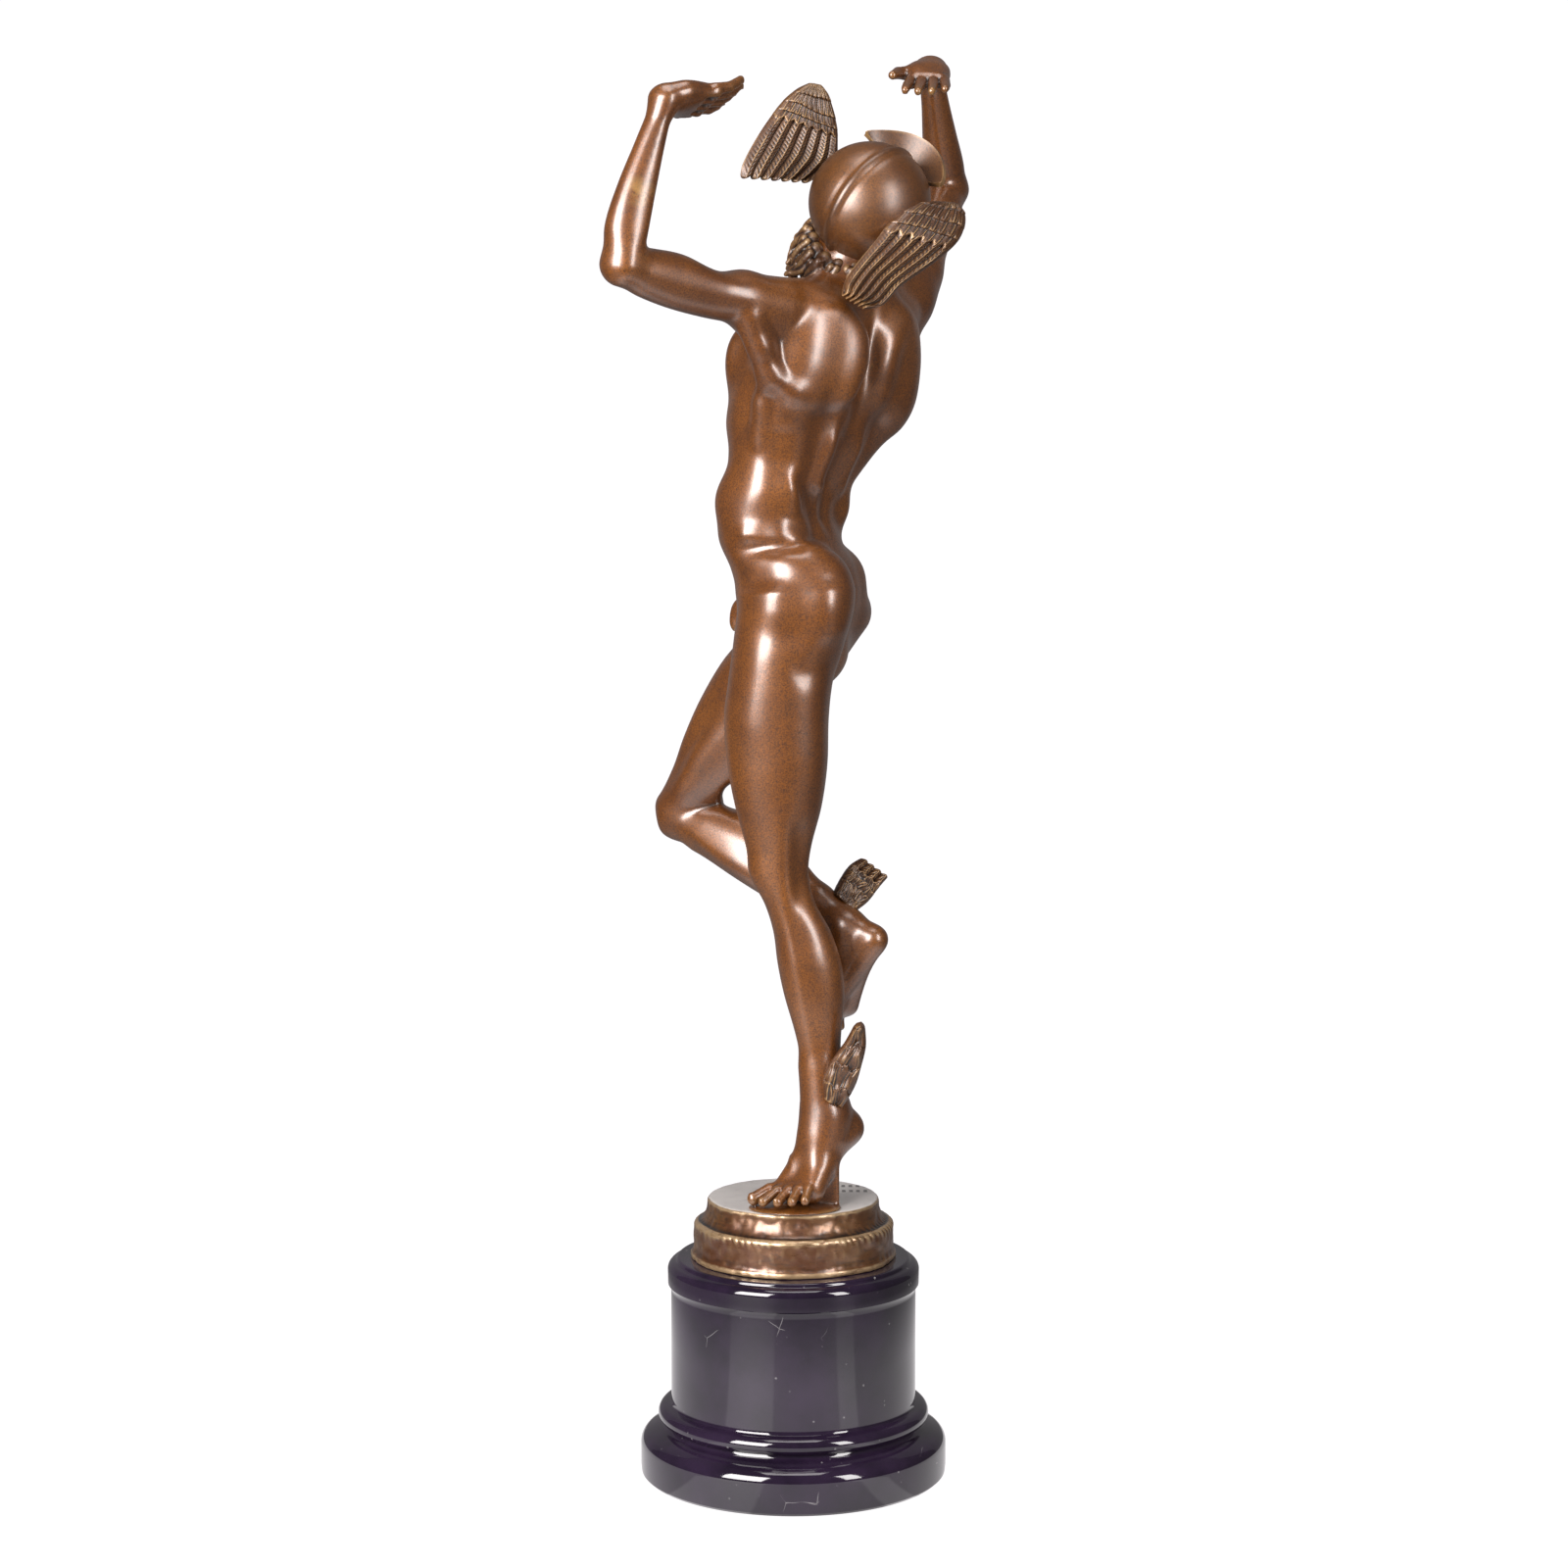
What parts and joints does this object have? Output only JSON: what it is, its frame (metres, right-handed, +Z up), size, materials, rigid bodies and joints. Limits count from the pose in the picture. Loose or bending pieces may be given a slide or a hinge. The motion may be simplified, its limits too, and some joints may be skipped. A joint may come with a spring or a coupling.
{
  "type": "roman bronze mercury statuette",
  "caption": "Bronze statuette of a nude winged messenger, poised on one foot with both arms raised, on a round bronze base and a turned black marble socle.",
  "frame": {"origin": "middle of the marble socle's underside", "axes": "+Z up; the figure is seen from behind its left shoulder by someone who looks along +Y, with +X to the right"},
  "size_m": [0.1654, 0.203, 0.6483],
  "materials": {
    "black_marble": "polished",
    "brassy_bronze": "worn, satin",
    "patinated_bronze": "brown patina, waxed"
  },
  "bodies": {
    "root": {"marble_socle": "black_marble", "bronze_base": "brassy_bronze", "mercury_figure": "patinated_bronze"}
  },
  "joints": []
}
